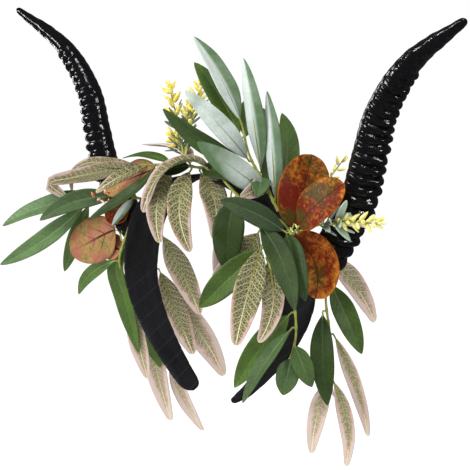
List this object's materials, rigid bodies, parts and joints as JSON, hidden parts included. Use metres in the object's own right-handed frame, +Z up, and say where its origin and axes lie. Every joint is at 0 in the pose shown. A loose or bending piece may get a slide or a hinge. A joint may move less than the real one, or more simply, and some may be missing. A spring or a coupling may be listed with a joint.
{
  "type": "horned leaf headband",
  "caption": "Arched cloth-bound headband with a pair of ringed curved horns and sprays of cloth leaves and yellow sprigs along it, worn over the crown of the head.",
  "frame": {"origin": "inside of the band's crown, where it sits on the head", "axes": "+Z up, -Y the way the wearer faces, +X across towards the wearer's left"},
  "size_m": [0.3908, 0.1381, 0.2971],
  "materials": {
    "band_cloth": "matte black wrapped cloth",
    "horn_plastic": "glossy black",
    "stem_plastic": "satin yellow-green",
    "willow_cloth": "printed green cloth with a silvery underside",
    "netted_cloth": "printed cloth with a pale net of veins",
    "copper_cloth": "printed mottled red, orange and gold cloth",
    "sprig_plastic": "satin yellow with grey-green leaves"
  },
  "bodies": {
    "root": {"band": "band_cloth", "horn_right": "horn_plastic", "horn_left": "horn_plastic", "crown_stem": "stem_plastic", "willow_leaf_crown_1": "willow_cloth", "netted_leaf_crown_1": "netted_cloth", "netted_leaf_crown_2": "netted_cloth", "netted_leaf_crown_3": "netted_cloth", "netted_leaf_crown_4": "netted_cloth", "netted_leaf_crown_5": "netted_cloth", "netted_leaf_crown_6": "netted_cloth", "copper_leaf_crown_1": "copper_cloth", "top_stem": "stem_plastic", "willow_leaf_top_1": "willow_cloth", "willow_leaf_top_2": "willow_cloth", "willow_leaf_top_3": "willow_cloth", "willow_leaf_top_4": "willow_cloth", "willow_leaf_top_5": "willow_cloth", "willow_leaf_top_6": "willow_cloth", "willow_leaf_top_7": "willow_cloth", "right_stem": "stem_plastic", "willow_leaf_right_1": "willow_cloth", "willow_leaf_right_2": "willow_cloth", "copper_leaf_right_1": "copper_cloth", "copper_leaf_right_2": "copper_cloth", "copper_leaf_right_3": "copper_cloth", "front_stem": "stem_plastic", "willow_leaf_front_1": "willow_cloth", "willow_leaf_front_2": "willow_cloth", "netted_leaf_front_1": "netted_cloth", "netted_leaf_front_2": "netted_cloth", "netted_leaf_front_3": "netted_cloth", "right_front_stem": "stem_plastic", "willow_leaf_right_front_1": "willow_cloth", "willow_leaf_right_front_2": "willow_cloth", "right_back_stem": "stem_plastic", "willow_leaf_right_back_1": "willow_cloth", "willow_leaf_right_back_2": "willow_cloth", "netted_leaf_right_back_1": "netted_cloth", "netted_leaf_right_back_2": "netted_cloth", "netted_leaf_right_back_3": "netted_cloth", "netted_leaf_right_back_4": "netted_cloth", "left_stem": "stem_plastic", "willow_leaf_left_1": "willow_cloth", "willow_leaf_left_2": "willow_cloth", "willow_leaf_left_3": "willow_cloth", "copper_leaf_left_1": "copper_cloth", "left_front_stem": "stem_plastic", "willow_leaf_left_front_1": "willow_cloth", "willow_leaf_left_front_2": "willow_cloth", "netted_leaf_left_front_1": "netted_cloth", "netted_leaf_left_front_2": "netted_cloth", "copper_leaf_left_front_1": "copper_cloth", "left_back_stem": "stem_plastic", "netted_leaf_left_back_1": "netted_cloth", "netted_leaf_left_back_2": "netted_cloth", "netted_leaf_left_back_3": "netted_cloth", "yellow_sprig_crown": "sprig_plastic", "yellow_sprig_back": "sprig_plastic", "yellow_sprig_horn": "sprig_plastic"}
  },
  "joints": []
}
